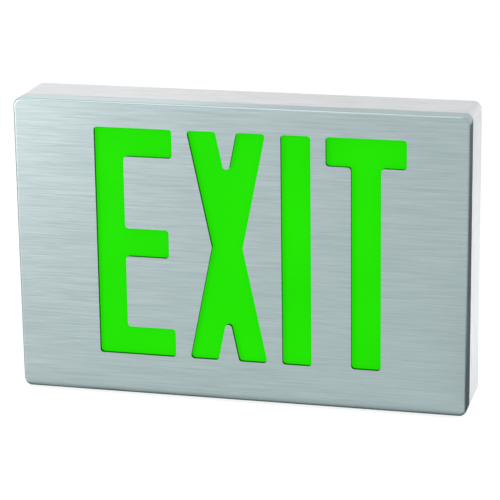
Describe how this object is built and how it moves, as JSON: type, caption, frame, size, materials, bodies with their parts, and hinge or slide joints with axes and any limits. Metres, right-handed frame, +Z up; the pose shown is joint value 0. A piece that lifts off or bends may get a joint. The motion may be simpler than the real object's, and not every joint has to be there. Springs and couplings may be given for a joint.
{
  "type": "emergency exit light",
  "caption": "Wall-mounted exit light: brushed cast face with the word EXIT cut through over a lit green panel, on a shallow housing with battery back-up and a test button.",
  "frame": {"origin": "centre of the wall side, on the axis of the lead entry, in the plane that meets the wall", "axes": "+X to the right of someone facing the sign, +Y into the wall (the lit face looks along -Y), +Z up"},
  "size_m": [0.2976, 0.0465, 0.1975],
  "materials": {
    "brushed_aluminium": "horizontally brushed, clear lacquer",
    "housing_paint": "satin silver-white powder coat on die casting",
    "green_panel": "translucent acrylic, lit from behind",
    "opal_acrylic": "opal, diffusing",
    "white_sheet": "matt white reflector paint",
    "back_plate_paint": "satin silver-white powder coat on die casting",
    "zinc_steel": "bright zinc plate",
    "spring_steel": "tempered, bright",
    "circuit_board": "glass-epoxy laminate with solder mask",
    "lamp_strip": "white solder mask",
    "lamp_package": "white package with phosphor window",
    "ferrite": "sintered ferrite",
    "winding_tape": "polyester tape over the winding",
    "capacitor_sleeve": "shrink sleeve",
    "relay_case": "moulded case",
    "terminal_plastic": "moulded polyamide",
    "header_nylon": "natural nylon",
    "black_anodised": "black anodised extrusion",
    "chip_epoxy": "moulded epoxy",
    "battery_sleeve": "shrink sleeve",
    "black_plastic": "moulded",
    "button_plastic": "moulded ABS, fine matt",
    "indicator_red": "clear red acrylic",
    "earth_green": "green dyed zinc plate"
  },
  "bodies": {
    "root": {"housing_frame": "housing_paint", "face_clips": "spring_steel", "clip_rivets": "zinc_steel", "back_plate": "back_plate_paint", "back_plate_screws": "zinc_steel", "entry_bushing": "black_plastic", "earth_screw": "earth_green", "reflector_tray": "white_sheet", "tray_screws": "zinc_steel", "upper_led_strip": "lamp_strip", "lower_led_strip": "lamp_strip", "upper_leds": "lamp_package", "lower_leds": "lamp_package", "strip_rivets": "header_nylon", "driver_board": "circuit_board", "board_spacers": "zinc_steel", "board_screws": "zinc_steel", "transformer_core": "ferrite", "transformer_winding": "winding_tape", "capacitors": "capacitor_sleeve", "relay": "relay_case", "terminal_block": "terminal_plastic", "terminal_screws": "zinc_steel", "wire_headers": "header_nylon", "heat_sink": "black_anodised", "regulator": "chip_epoxy", "battery_pack": "battery_sleeve", "battery_strap": "zinc_steel", "strap_screws": "zinc_steel", "switch_board": "circuit_board", "switch_board_screws": "zinc_steel", "test_switch": "chip_epoxy", "button_spring": "spring_steel", "indicator_led": "indicator_red", "indicator_lens": "indicator_red"},
    "face": {"face_plate": "brushed_aluminium", "colour_panel": "green_panel", "diffuser_panel": "opal_acrylic", "panel_push_nuts": "spring_steel"},
    "test_button": {"test_button": "button_plastic"}
  },
  "joints": [
    {"name": "face_slide", "type": "slide", "parent": "root", "child": "face", "axis": [0, -1, 0], "range_m": [0, 0.06]},
    {"name": "button_press", "type": "slide", "parent": "root", "child": "test_button", "axis": [0, 0, 1], "range_m": [0, 0.0015], "stiffness_N_per_m": 600, "springref_m": -0.002, "deforming": ["button_spring"]}
  ]
}
